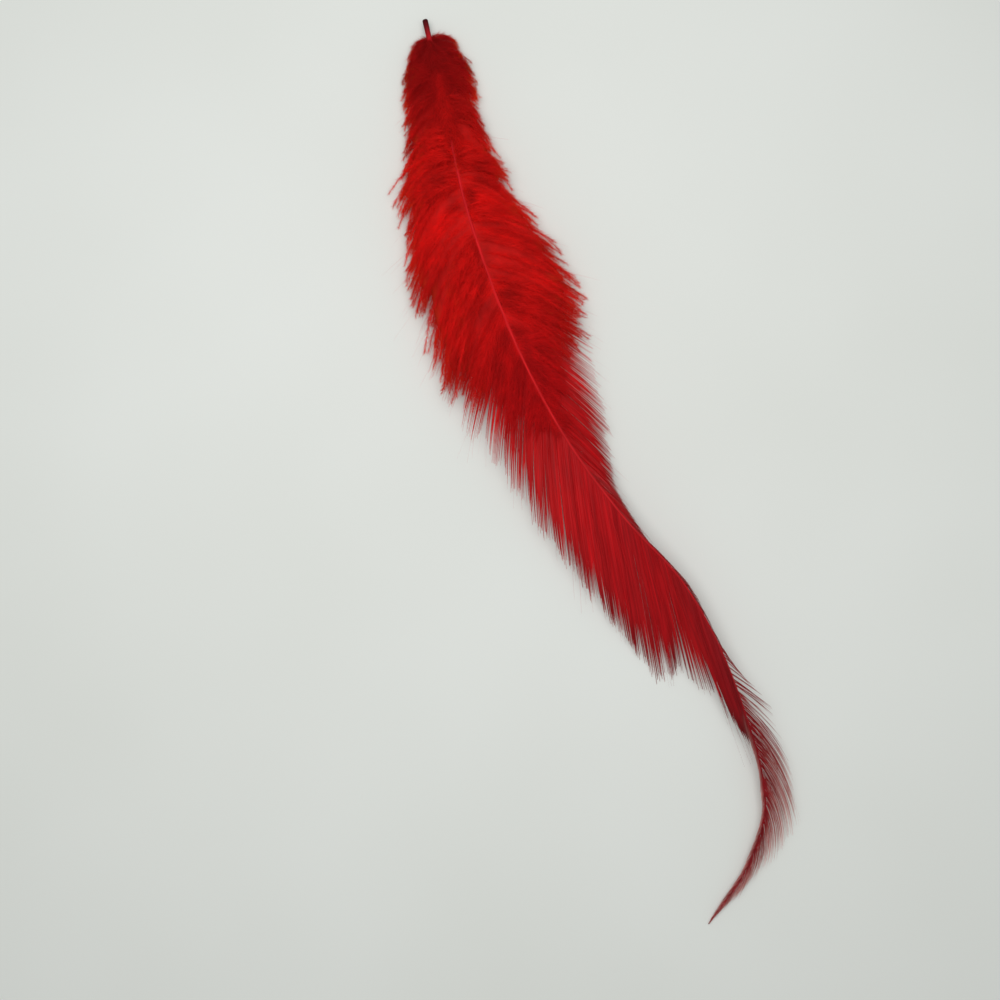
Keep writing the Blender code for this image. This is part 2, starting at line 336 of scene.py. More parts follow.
# %% A helper for nodes
MATH = "ShaderNodeMath"
VECTOR = "ShaderNodeVectorMath"
RANGE = "ShaderNodeMapRange"
MIX = "ShaderNodeMix"
UV_MAP = "OFBake"


def add(tree, kind, settings=None, inputs=None):
    """One node with its settings. An input is a value, or the output socket to link."""
    made = tree.nodes.new(kind)
    for name, value in (settings or {}).items():
        setattr(made, name, value)
    for key, value in (inputs or {}).items():
        if isinstance(value, bpy.types.NodeSocket):
            tree.links.new(value, made.inputs[key])
        else:
            made.inputs[key].default_value = value
    return made


# %% One flat blade
# Where the blade begins and ends, and what brings its half width to 1. A triangle stands in
# a circle of radius 1, with its point at 1 and its foot at -0.5.
POINTED_BLADE = (-0.5, 1.0, 2 / math.sqrt(3))
GRID_BLADE = (-0.5, 0.5, 2.0)


def flat_blade(tree, segments, pointed):
    """The mesh that every strip starts from, with the place along and across it stored."""
    place = add(tree, "GeometryNodeInputPosition").outputs[0]
    place = add(tree, "ShaderNodeSeparateXYZ", inputs={0: place}).outputs
    first, last, widen = POINTED_BLADE if pointed else GRID_BLADE
    if pointed:
        mesh = add(
            tree, "GeometryNodeMeshCircle", {"fill_type": "NGON"}, {"Vertices": 3, "Radius": 1.0}
        )
    else:
        rows = add(tree, MATH, {"operation": "ADD"}, {0: segments, 1: 1.0}).outputs[0]
        mesh = add(
            tree, "GeometryNodeMeshGrid",
            inputs={"Size X": 1.0, "Size Y": 1.0, "Vertices X": rows, "Vertices Y": 3},
        )
    mesh = mesh.outputs["Mesh"]
    along = add(tree, RANGE, inputs={"Value": place[0], 1: first, 2: last}).outputs[0]
    across = add(tree, MATH, {"operation": "MULTIPLY"}, {0: place[1], 1: widen}).outputs[0]
    for label, value in (("along", along), ("across", across)):
        mesh = add(
            tree, "GeometryNodeStoreNamedAttribute", {"data_type": "FLOAT", "domain": "POINT"},
            {"Geometry": mesh, "Name": label, "Value": value},
        ).outputs[0]
    return mesh


# %% Bending it along its own curve
# How fluff stands above the shaft along a barb, from its root (0) to its end (1)
LIFT_SHAPE = [(0.0, 0.12), (0.15, 0.7), (0.4, 1.0), (0.7, 0.7), (1.0, 0.25)]
DRAW_POWER = 3.0  # a lock draws its barbs together mostly near their ends
LEFTMOST = -1.0  # nothing lies this far out, so only the height of a point is ever raised


def on_curve(tree, along, points):
    """A place on the curve with these control points: neighbours blended until one is left."""
    while len(points) > 1:
        points = [
            add(tree, MIX, {"data_type": "VECTOR"}, {0: along, 4: near, 5: far}).outputs[1]
            for near, far in zip(points, points[1:])
        ]
    return points[0]


def lift_along(tree, along):
    """The values of LIFT_SHAPE on a strip."""
    bump = add(tree, "ShaderNodeFloatCurve", inputs={"Value": along})
    shape = bump.mapping.curves[0]
    for at, height in LIFT_SHAPE[1:-1]:
        shape.points.new(at, height)
    shape.points[0].location = LIFT_SHAPE[0]
    shape.points[-1].location = LIFT_SHAPE[-1]
    bump.mapping.update()
    return bump.outputs[0]


def bent_place(tree, carried, given):
    """Where a strip's points go: along its curve, lifted, drawn aside and spread to a width."""
    along, across = carried["along"], carried["across"]
    taper = add(
        tree, RANGE, {"interpolation_type": "SMOOTHSTEP"},
        {"Value": along, 1: given["Taper from"], 2: 1.0, 3: 1.0, 4: given["Tip share"]},
    ).outputs[0]
    draw = add(tree, MATH, {"operation": "POWER"}, {0: along, 1: DRAW_POWER}).outputs[0]
    flat = add(tree, MATH, {"operation": "MULTIPLY"}, {0: across, 1: taper}).outputs[0]
    fold = add(tree, MATH, {"operation": "ABSOLUTE"}, {0: across}).outputs[0]
    fold = add(tree, MATH, {"operation": "SUBTRACT"}, {0: 1.0, 1: fold}).outputs[0]
    for share in (given["Crease"], taper):
        fold = add(tree, MATH, {"operation": "MULTIPLY"}, {0: fold, 1: share}).outputs[0]
    place = on_curve(tree, along, [carried[label] for label in ("start", "bend", "end")])
    levels = {"lift": lift_along(tree, along), "draw": draw, "flat": flat, "thick": fold}
    for label, level in levels.items():
        offset = add(
            tree, VECTOR, {"operation": "SCALE"}, {0: carried[label], "Scale": level}
        ).outputs[0]
        place = add(tree, VECTOR, {"operation": "ADD"}, {0: place, 1: offset}).outputs[0]
    lowest = add(
        tree, "ShaderNodeCombineXYZ", inputs={0: LEFTMOST, 1: LEFTMOST, 2: given["Lowest"]}
    ).outputs[0]
    return add(tree, VECTOR, {"operation": "MAXIMUM"}, {0: place, 1: lowest}).outputs[0]


# %% The whole tree
# What a point carries for its strip, and the strip's own places
STRIP_VECTORS = ("start", "bend", "end", "lift", "draw", "flat", "thick", "uv_start", "uv_span")
STRIP_PLACES = ("along", "across")
STRIP_INPUTS = [
    ("Segments", "NodeSocketInt", 12),
    ("Taper from", "NodeSocketFloat", 0.6),
    ("Tip share", "NodeSocketFloat", 0.2),
    ("Crease", "NodeSocketFloat", 0.25),
    ("Lowest", "NodeSocketFloat", 0.0),
]


def strip_tree(name, pointed):
    """A tree that grows one strip on each point, creased along its middle or pointed."""
    tree = bpy.data.node_groups.new(name, "GeometryNodeTree")
    tree.interface.new_socket("Points", in_out="INPUT", socket_type="NodeSocketGeometry")
    tree.interface.new_socket("Strips", in_out="OUTPUT", socket_type="NodeSocketGeometry")
    for label, kind, value in STRIP_INPUTS:
        socket = tree.interface.new_socket(label, in_out="INPUT", socket_type=kind)
        socket.default_value = value
    tree.interface.new_socket("Material", in_out="INPUT", socket_type="NodeSocketMaterial")
    given = add(tree, "NodeGroupInput").outputs
    blade = flat_blade(tree, given["Segments"], pointed)
    strips = add(
        tree, "GeometryNodeInstanceOnPoints", inputs={"Points": given["Points"], "Instance": blade}
    ).outputs[0]
    strips = add(tree, "GeometryNodeRealizeInstances", inputs={0: strips}).outputs[0]
    carried = {
        label: add(
            tree, "GeometryNodeInputNamedAttribute", {"data_type": kind}, {"Name": label}
        ).outputs["Attribute"]
        for labels, kind in ((STRIP_VECTORS, "FLOAT_VECTOR"), (STRIP_PLACES, "FLOAT"))
        for label in labels
    }
    strips = add(
        tree, "GeometryNodeSetPosition",
        inputs={"Geometry": strips, "Position": bent_place(tree, carried, given)},
    ).outputs[0]
    uv = add(
        tree, "ShaderNodeCombineXYZ", inputs={0: carried["along"], 1: carried["across"]}
    ).outputs[0]
    uv = add(
        tree, VECTOR, {"operation": "MULTIPLY_ADD"},
        {0: uv, 1: carried["uv_span"], 2: carried["uv_start"]},
    ).outputs[0]
    strips = add(
        tree, "GeometryNodeStoreNamedAttribute", {"data_type": "FLOAT2", "domain": "CORNER"},
        {"Geometry": strips, "Name": UV_MAP, "Value": uv},
    ).outputs[0]
    strips = add(tree, "GeometryNodeRealizeInstances", inputs={0: strips}).outputs[0]
    strips = add(
        tree, "GeometryNodeSetMaterial", inputs={"Geometry": strips, "Material": given["Material"]}
    ).outputs[0]
    add(tree, "NodeGroupOutput", inputs={0: strips})
    return tree


barb_tree = strip_tree("barb strips", pointed=False)
barbule_tree = strip_tree("barbule points", pointed=True)
print("tree nodes:", len(barb_tree.nodes), "and", len(barbule_tree.nodes))

# %% Growing strips into a plain mesh
def placed(name, data):
    """An object for a mesh, a lamp or a camera, in the scene."""
    thing = bpy.data.objects.new(name, data)
    bpy.context.scene.collection.objects.link(thing)
    return thing


def grow(name, tree, material, strips, sizes):
    """Grows strips, a dictionary of arrays in millimetres, into one plain mesh object."""
    seeds = bpy.data.meshes.new(name)
    count = len(strips["start"])
    seeds.vertices.add(count)
    for label in STRIP_VECTORS:
        values = np.broadcast_to(strips[label], (count, 3))
        if not label.startswith("uv"):
            values = values * MM
        layer = seeds.attributes.new(label, "FLOAT_VECTOR", "POINT")
        layer.data.foreach_set("vector", np.ascontiguousarray(values, np.float32).ravel())
    thing = placed(name, seeds)
    modifier = thing.modifiers.new("grow", "NODES")
    modifier.node_group = tree
    for socket in tree.interface.items_tree:
        if socket.in_out == "INPUT" and socket.name in sizes:
            modifier[socket.identifier] = sizes[socket.name]
        if socket.name == "Material":
            modifier[socket.identifier] = material
    seen = thing.evaluated_get(bpy.context.evaluated_depsgraph_get())
    mesh = bpy.data.meshes.new_from_object(seen)
    thing.modifiers.remove(modifier)
    thing.data = mesh
    bpy.data.meshes.remove(seeds)
    mesh.name = name
    for label in (*STRIP_VECTORS, *STRIP_PLACES):
        if label in mesh.attributes:
            mesh.attributes.remove(mesh.attributes[label])
    mesh.calc_loop_triangles()
    print(name, count, "strips,", len(mesh.loop_triangles), "triangles")
    return thing


# %% [markdown]
# ## Dyed keratin
#
# The whole feather is keratin, the stuff of horn and hair, dyed with an acid dye in a hot
# bath. The barbs are so thin that light goes through them, so their finishes mix a
# Principled surface with a Translucent one. Colours read the strips' own map: its first
# axis runs along the barb and its second along the shaft, so a streak of colour follows its
# barb. An image would need a picture of every barb, and noise on this map doesn't.

# %% Helpers for materials
NOISE_LOW, NOISE_HIGH = 0.3, 0.7  # nearly all values of a noise lie between these


def linear(code):
    """A colour written as sRGB hex, as the linear colour that a shader wants."""
    values = [int(code[place : place + 2], 16) / 255 for place in (1, 3, 5)]
    lin = [v / 12.92 if v <= 0.04045 else ((v + 0.055) / 1.055) ** 2.4 for v in values]
    return (*lin, 1.0)


def dye(tree, stops, place):
    """The colour at each place, from stops given as (place, hex)."""
    made = add(tree, "ShaderNodeValToRGB", inputs={0: place})
    elements = made.color_ramp.elements
    while len(elements) < len(stops):
        elements.new(0.5)
    for element, (at, code) in zip(elements, stops):
        element.position = at
        element.color = linear(code)
    return made.outputs[0]


def streaks(tree, uv, scales, detail, roughness=0.6):
    """Noise that is stretched along the barbs, from scales along a barb and along the shaft."""
    stretched = add(
        tree, VECTOR, {"operation": "MULTIPLY"}, {0: uv, 1: (*scales, 1.0)}
    ).outputs[0]
    return add(
        tree, "ShaderNodeTexNoise", {"noise_dimensions": "2D"},
        {"Vector": stretched, "Scale": 1.0, "Detail": detail, "Roughness": roughness},
    ).outputs[0]


def streaked(tree, colour, noise, share):
    """A colour made darker and lighter by up to this share, as the noise goes."""
    level = add(
        tree, RANGE,
        inputs={"Value": noise, 1: NOISE_LOW, 2: NOISE_HIGH, 3: 1 - share, 4: 1 + share},
    ).outputs[0]
    return add(tree, VECTOR, {"operation": "SCALE"}, {0: colour, "Scale": level}).outputs[0]


def new_material(name, values):
    """A material, its tree, and its Principled shader with some values set."""
    material = bpy.data.materials.new(name)
    material.use_nodes = True
    shader = material.node_tree.nodes["Principled BSDF"]
    for label, value in values.items():
        shader.inputs[label].default_value = value
    return material, material.node_tree, shader


# %% A keratin for barbs
KERATIN_IOR = 1.54
SHEEN_ROUGHNESS = 0.4
SHEEN_TINT = "#FF5A38"
THINNING = (0.7, 0.8)  # shares of the shaft between which the barbs turn thin from their roots on
ROUGHNESS_SPREAD = 0.08


def keratin(name, by_station, ends, ends_from, fine, broad, gloss, through, glow):
    """Dyed keratin: colour by place on the shaft, another at the barbs' ends, and streaks.

    ends_from is the share of a barb at which the second colour begins, before the barbs turn
    thin and after that. fine and broad are scales along a barb and along the shaft, and the
    streaks' strength. gloss is roughness, specular level and sheen.
    """
    rough, specular, sheen = gloss
    material, tree, shader = new_material(name, {
        "IOR": KERATIN_IOR, "Specular IOR Level": specular, "Sheen Weight": sheen,
        "Sheen Roughness": SHEEN_ROUGHNESS, "Sheen Tint": linear(SHEEN_TINT),
    })
    uv = add(tree, "ShaderNodeUVMap", {"uv_map": UV_MAP}).outputs[0]
    place = add(tree, "ShaderNodeSeparateXYZ", inputs={0: uv}).outputs
    begins = add(
        tree, RANGE,
        inputs={"Value": place[1], 1: THINNING[0], 2: THINNING[1], 3: ends_from[0], 4: ends_from[1]},
    ).outputs[0]
    near_end = add(
        tree, RANGE, {"interpolation_type": "SMOOTHSTEP"}, {"Value": place[0], 1: begins, 2: 1.0}
    ).outputs[0]
    # Near its end a barb takes the second colour, which holds painted light as well as dye: a painted
    # glow in the down and a painted highlight in the vane's pale tips.
    colour = add(
        tree, MIX, {"data_type": "RGBA"},
        {0: near_end, 6: dye(tree, by_station, place[1]), 7: dye(tree, ends, place[1])},
    ).outputs[2]
    fine_noise = streaks(tree, uv, fine[:2], 2.0)
    colour = streaked(tree, colour, fine_noise, fine[2])
    colour = streaked(tree, colour, streaks(tree, uv, broad[:2], 1.0), broad[2])
    smoothest, roughest = rough - ROUGHNESS_SPREAD, rough + ROUGHNESS_SPREAD
    rough = add(
        tree, RANGE,
        inputs={"Value": fine_noise, 1: NOISE_LOW, 2: NOISE_HIGH, 3: smoothest, 4: roughest},
    ).outputs[0]
    tree.links.new(colour, shader.inputs["Base Color"])
    tree.links.new(rough, shader.inputs["Roughness"])
    light = add(
        tree, MIX, {"data_type": "RGBA", "blend_type": "MULTIPLY"},
        {0: 1.0, 6: colour, 7: linear(glow)},
    ).outputs[2]
    lit = add(tree, "ShaderNodeBsdfTranslucent", inputs={"Color": light}).outputs[0]
    both = add(
        tree, "ShaderNodeMixShader", inputs={0: through, 1: shader.outputs[0], 2: lit}
    ).outputs[0]
    tree.links.new(both, tree.nodes["Material Output"].inputs["Surface"])
    return material


# %% The finish of the down
# Dyed barbules, too loose to shine, that let half of the light through. So the eye
# sees a matt, deep red plush with orange light in its ends. That orange is partly the
# thinner dye of the ends and partly a painted glow, for light that shines through them.
# Real streaks are single barbules, too fine to see, so these are drawn 2 mm wide, with
# patches of 6 mm where the dye took unevenly.
DOWN_STATIONS = [
    (0.02, "#BC1C1E"), (0.07, "#D41E1E"), (0.12, "#EC2420"), (0.28, "#E82422"), (0.36, "#DC1E22"),
    (0.43, "#D01C20"),
]
# Orange at the ends: thinner dye, and a painted glow of light shining through them
DOWN_END_DYE_AND_GLOW = [(0.0, "#D84A26"), (0.2, "#E23A20"), (0.4, "#C4201E")]
down_keratin = keratin(
    "dyed_down_keratin", DOWN_STATIONS, DOWN_END_DYE_AND_GLOW, ends_from=(0.72, 0.72),
    fine=(5.0, 90.0, 0.15), broad=(1.5, 30.0, 0.12),
    gloss=(0.65, 0.06, 0.15), through=0.5, glow="#FFFFFF",
)

# %% The finish of the vane
# Flat, waxy, dyed barbs that lie side by side. So the eye sees a silky crimson with a
# low shine along them, wine red where the dark natural feather shows through the dye, and
# pale pink where the ends are too thin to hold much dye. The pale pink is also partly a
# painted highlight, for the shine on the long glossy barbs near the tip. Real streaks are
# one barb wide, 0.1 to 0.2 mm, and these are 0.4 mm, which is about as fine as the picture
# can show. The broad patches are 3 mm.
VANE_STATIONS = [
    (0.3, "#CC1216"), (0.46, "#CA1018"), (0.54, "#BC0F18"), (0.6, "#B60E16"), (0.66, "#A20F18"),
    (0.73, "#92141C"), (0.9, "#94181F"), (1.0, "#A43A3C"),
]
# Wine red, then pale pink: the pink is partly paler dye and partly a painted highlight
VANE_END_DYE_AND_HIGHLIGHT = [
    (0.3, "#C8161A"), (0.56, "#8E1119"), (0.62, "#74161C"), (0.7, "#741C20"), (0.75, "#A86E68"),
    (0.82, "#CC9690"), (1.0, "#CC9A94"),
]
vane_keratin = keratin(
    "dyed_barb_keratin", VANE_STATIONS, VANE_END_DYE_AND_HIGHLIGHT, ends_from=(0.7, 0.15),
    fine=(2.0, 420.0, 0.25), broad=(0.8, 60.0, 0.12),
    gloss=(0.44, 0.16, 0.0), through=0.3, glow="#FFC8C0",
)
print("barb finishes:", down_keratin.name, "and", vane_keratin.name)

# %% The finish of the quill
# Solid horn, smoother than the barbs and too thick to let light through: crimson, darkest
# at its cut mouth, with a lighter line on top where it faces the light.
QUILL_STATIONS = [
    (0.0, "#34080E"), (0.008, "#6A1018"), (0.02, "#B01820"), (0.3, "#D01C20"), (1.0, "#7A1820"),
]
QUILL_TOP = "#E05450"
TOP_OF_SHAFT = 0.25  # share of the way around at which the shaft faces up
TOP_LINE = (0.02, 0.13, 0.35, 0.0)  # from this far aside to that, from this share to that
QUILL_STREAKS = (9.0, 40.0)  # scales around the shaft and along it: flecks of about 4 mm
QUILL_CONTRAST = 0.2


def quill_keratin():
    material, tree, shader = new_material(
        "dyed_quill_keratin", {"Roughness": 0.5, "IOR": KERATIN_IOR, "Specular IOR Level": 0.05}
    )
    uv = add(tree, "ShaderNodeUVMap", {"uv_map": UV_MAP}).outputs[0]
    around, along, _ = add(tree, "ShaderNodeSeparateXYZ", inputs={0: uv}).outputs
    aside = add(tree, MATH, {"operation": "SUBTRACT"}, {0: around, 1: TOP_OF_SHAFT}).outputs[0]
    aside = add(tree, MATH, {"operation": "ABSOLUTE"}, {0: aside}).outputs[0]
    on_top = add(
        tree, RANGE, {"interpolation_type": "SMOOTHSTEP"},
        {"Value": aside, **dict(enumerate(TOP_LINE, 1))},
    ).outputs[0]
    colour = add(
        tree, MIX, {"data_type": "RGBA"},
        {0: on_top, 6: dye(tree, QUILL_STATIONS, along), 7: linear(QUILL_TOP)},
    ).outputs[2]
    noise = streaks(tree, uv, QUILL_STREAKS, 3.0, roughness=0.5)
    tree.links.new(streaked(tree, colour, noise, QUILL_CONTRAST), shader.inputs["Base Color"])
    return material


# %% [markdown]
# ## The quill and the shaft
#
# The quill end is a bare, hollow tube about 1 mm thick, with the small dark mouth where it
# grew out of the skin. From there the shaft thins steadily to the tip. A curve with a
# bevel would do, but rings placed from the same frame as the barbs keep the shaft's upper
# side up, and give it a map for the colours that change along it.

# %% The shaft
QUILL_RADIUS = 0.5
TIP_RADIUS = 0.07
TAPER_POWER = 0.6
SHAFT_SIDES = 14
SHAFT_STEP = 1.0
MOUTH = [(0.10, 0.35), (0.0, 0.55), (0.0, 0.8), (0.12, 0.97)]  # (distance in, share of radius)
MOUTH_ENDS = 0.4  # the first full ring is this far in


def closed_shell(name, shell, material):
    """A smooth object from a closed bmesh, its faces outward."""
    bmesh.ops.recalc_face_normals(shell, faces=shell.faces)
    mesh = bpy.data.meshes.new(name)
    shell.to_mesh(mesh)
    shell.free()
    mesh.shade_smooth()
    mesh.materials.append(material)
    print(name, len(mesh.polygons), "faces")
    return placed(name, mesh)


def build_shaft():
    full = [(station, 1.0) for station in np.arange(MOUTH_ENDS, LENGTH, SHAFT_STEP)]
    stations, shares = np.array([*MOUTH, *full, (LENGTH, 1.0)]).T
    thinned = (TIP_RADIUS - QUILL_RADIUS) * (stations / LENGTH) ** TAPER_POWER
    radii = (QUILL_RADIUS + thinned) * shares
    place, forward, right = shaft_frame(stations)
    up = -np.cross(forward, right)
    turns = 2 * math.pi * np.arange(SHAFT_SIDES) / SHAFT_SIDES
    shell = bmesh.new()
    uv = shell.loops.layers.uv.new(UV_MAP)
    verts = []
    for number in range(len(stations)):
        ring = (
            place[number]
            + radii[number] * np.outer(np.cos(turns), right[number])
            + radii[number] * np.outer(np.sin(turns), up[number])
        )
        verts.append([shell.verts.new(point * MM) for point in ring])
    for number, (near, far) in enumerate(zip(verts, verts[1:])):
        for a in range(SHAFT_SIDES):
            b = (a + 1) % SHAFT_SIDES
            face = shell.faces.new((near[a], near[b], far[b], far[a]))
            corners = ((a, number), (a + 1, number), (a + 1, number + 1), (a, number + 1))
            for loop, (around, ring) in zip(face.loops, corners):
                loop[uv].uv = (around / SHAFT_SIDES, stations[ring] / LENGTH)
    shell.faces.new(verts[0])
    shell.faces.new(verts[-1])
    return closed_shell("shaft", shell, quill_keratin())


pieces = [build_shaft()]

# %% [markdown]
# ## The vane
#
# Past the down, the barbs zip together into a silky sheet. Most lie 0.1 to 0.5 mm apart
# along the shaft, nearly side by side, each a strip that is wide at its root and thins to a
# hair at its end. A textured sheet would look the same from far away, but its edge would be
# cut, not feathered, so each barb is grown by itself.

# %% Strips for the tree
THICKNESS = 0.5  # how high a strip's middle stands over its edges, as a share of its half width


def strip_set(curves, width, turn, lift, stations, map_step, draw=0.0):
    """The arrays that one call of grow needs, from barb curves."""
    start, bend, end, up = curves
    way = unit(end - start)
    flat = unit(np.cross(way, up))
    true_up = unit(np.cross(flat, way))
    turn = np.radians(turn)[:, None]
    facing = flat * np.cos(turn) + true_up * np.sin(turn)
    thick = true_up * np.cos(turn) - flat * np.sin(turn)
    half = np.broadcast_to(width, len(start))[:, None] / 2
    zero = np.zeros(len(start))
    return {
        "start": start, "bend": bend, "end": end, "lift": true_up * np.asarray(lift)[:, None],
        "draw": draw + np.zeros((len(start), 3)),
        "flat": facing * half, "thick": thick * half * THICKNESS,
        "uv_start": np.column_stack([zero, stations / LENGTH, zero]),
        "uv_span": np.array((1.0, map_step / LENGTH, 0.0)) + np.zeros((len(start), 3)),
    }


def spread_out(start, end, spacing_at):
    """Stations from start to end, each a spacing that changes on the way after the last."""
    stations = [start]
    while stations[-1] < end:
        stations.append(stations[-1] + float(spacing_at(stations[-1])))
    return np.array(stations[:-1])


# %% Values for the vane
VANE_FROM = 40.0
LAST_BARB = 0.5  # the last barb grows this far from the tip
# Columns: distance along the shaft, spacing of the barbs, and width of one
VANE_ROWS = [
    (40, 0.35, 0.07),
    (50, 0.20, 0.13),
    (62, 0.15, 0.22),
    (80, 0.13, 0.26),
    (108, 0.13, 0.24),
    (120, 0.15, 0.18),
    (135, 0.17, 0.11),
    (160, 0.18, 0.09),
    (175, 0.20, 0.07),
]
# How each side departs from even locks. Columns: distance along the shaft, how far a lock
# draws together, share of the gaps that is left, extra length, and spacing as a multiple
VANE_HABIT = {
    "left": [
        (40, 0.30, 0.60, 0.0, 1),
        (62, 0.22, 0.35, 0.0, 1),
        (80, 0.18, 0.25, 0.0, 1),
        (95, 0.22, 0.28, 0.5, 1),
        (101, 0.22, 0.28, 0.0, 1.1),
        (104, 0.12, 0.12, 0.5, 1.6),
        (108, 0.08, 0.08, 0.5, 1.3),
        (111, 0.05, 0.05, 0.5, 0.9),
        (117, 0.00, 0.00, 1.0, 0.8),
        (123, 0.00, 0.00, 1.5, 0.9),
        (129, 0.00, 0.00, 1.5, 1),
        (136, 0.00, 0.00, 1.0, 1),
        (143, 0.00, 0.00, 0.5, 1.5),
        (175, 0.00, 0.00, 0.0, 1.5),
    ],
    "right": [
        (40, 0.30, 0.60, 0.0, 1),
        (62, 0.10, 0.25, 0.0, 1),
        (80, 0.00, 0.10, 0.0, 1),
        (104, 0.00, 0.10, 0.0, 1),
        (123, 0.00, 0.00, 0.0, 2),
        (125, 0.00, 0.00, 0.0, 8),
        (131, 0.00, 0.00, 0.0, 6),
        (134.5, 0.10, 0.15, 0.0, 2.2),
        (150, 0.15, 0.25, 0.0, 2.6),
        (165, 0.10, 0.25, 0.0, 1.8),
        (175, 0.00, 0.20, 0.0, 1.2),
    ],
}
END_JITTER = 0.03
LEAN_JITTER = 0.6
TURN_JITTER = 8.0
PULL_SPREAD = (0.7, 1.1)
WIDTH_SPREAD = (0.8, 1.2)
SURFACE_RIPPLE = 0.2  # how high a lock's middle stands over its edges
RIPPLE_REACH = 2.5
RIPPLE_JITTER = 0.05
BARB_STEP = 0.07  # share of the map that half a barb takes, in millimetres of the shaft
BARB_SIZES = {
    "Segments": 16, "Taper from": 0.6, "Tip share": 0.2, "Crease": 0.6, "Lowest": 0.03 * MM,
}


# %% Vane barbs
def vane(side, seed):
    rng = np.random.default_rng(seed)
    at_row, spacing, width = np.array(VANE_ROWS).T
    at_habit, pull, gaps, extra, wider = np.array(VANE_HABIT[side]).T

    def spacing_at(station):
        return np.interp(station, at_row, spacing) * np.interp(station, at_habit, wider)

    stations = spread_out(VANE_FROM, LENGTH - LAST_BARB, spacing_at)
    count = len(stations)
    width = np.interp(stations, at_row, width)
    pull, gaps, extra = (np.interp(stations, at_habit, column) for column in (pull, gaps, extra))
    share, lean, _, middle = lock_at(side, stations)
    share = 1 - (1 - share) * gaps + rng.normal(0, END_JITTER, count)
    middle_share, middle_lean, _, _ = lock_at(side, middle)
    lean = lean * gaps + rng.normal(0, LEAN_JITTER, count)
    curves = barb_curves(side, stations, share, lean, extra=extra)
    middles = barb_curves(side, middle, middle_share, middle_lean * gaps, extra=extra)
    draw = drawn_in(curves, middles, pull * rng.uniform(*PULL_SPREAD, count))
    width = width * rng.uniform(*WIDTH_SPREAD, count)
    ripple = 1 - np.abs(stations - middle) / RIPPLE_REACH
    lift = SURFACE_RIPPLE * ripple + rng.normal(0, RIPPLE_JITTER, count)
    turn = rng.normal(0, TURN_JITTER, count)
    strips = strip_set(curves, width, turn, lift, stations, BARB_STEP, draw)
    return grow(f"{side}_vane", barb_tree, vane_keratin, strips, BARB_SIZES)


pieces += [vane("left", 21), vane("right", 22)]

# %% [markdown]
# ## The down
#
# A downy barb is a soft thread with a fur of barbules, each 1 to 2 mm long and finer than
# a hair. They don't hook together, so the barbs fluff up and down into a plush. The threads
# are strips like the barbs. On them stand hundreds of thousands of barbules, each a single
# pointed face, which is the least that still casts a shadow and shows a soft edge.

# %% How the down fluffs up
# Columns: distance along the shaft, fluff above the barbs and below them
FLUFF = [
    (3.3, 0.7, 1.0),
    (10, 1.6, 2.2),
    (24, 2.3, 4.6),
    (45, 2.3, 5.6),
    (58, 1.3, 3.4),
    (70, 0.4, 0.6),
    (82, 0.2, 0.2),
]
DOWN_TO = 76.0
DOWN_FADES_FROM = 50.0
DOWN_GAPS = 0.6  # share of the gaps between locks that is left in the down
# How much of their lean the barbs' ends keep: past the down they keep it all
DOWN_SWEEP = [(40.0, 0.55), (DOWN_TO, 1.0)]


def along_shaft(table, stations):
    """Straight lines through the (place, value) pairs of a table."""
    return np.interp(stations, *zip(*table))


# %% Barbules
BARBULE_LENGTH = 2.0
BARBULE_WIDTH = 0.06
BARBULE_LEAN, BARBULE_LEAN_SPREAD = 32.0, 11
BARBULE_LENGTH_SPREAD = (0.5, 1.15)
BARBULE_TILT = 0.35  # how far their faces turn away from level
# Share of their length by place on the shaft: short at the quill, and where the vane begins
BARBULE_REACH = [(4.6, 0.7), (9, 0.85), (30, 1.0), (60, 0.9), (DOWN_TO, 0.6)]
FEWEST_BARBULES = 4
LEAST_DOWNY = 0.08  # share of barbules that is left where the down ends
FIRST_BARBULE = 0.02  # they begin this far along a thread
SHORTER_AT_END, THINNER_AT_END = 0.55, 0.4
# A barbule shows the colour of its place on the thread, from a small patch of the map
MAP_SHARE, MAP_PATCH = 0.92, (0.06, 0.002)
BARBULE_SIZES = {"Taper from": 0.0, "Tip share": 1.0, "Crease": 0.0, "Lowest": 0.02 * MM}


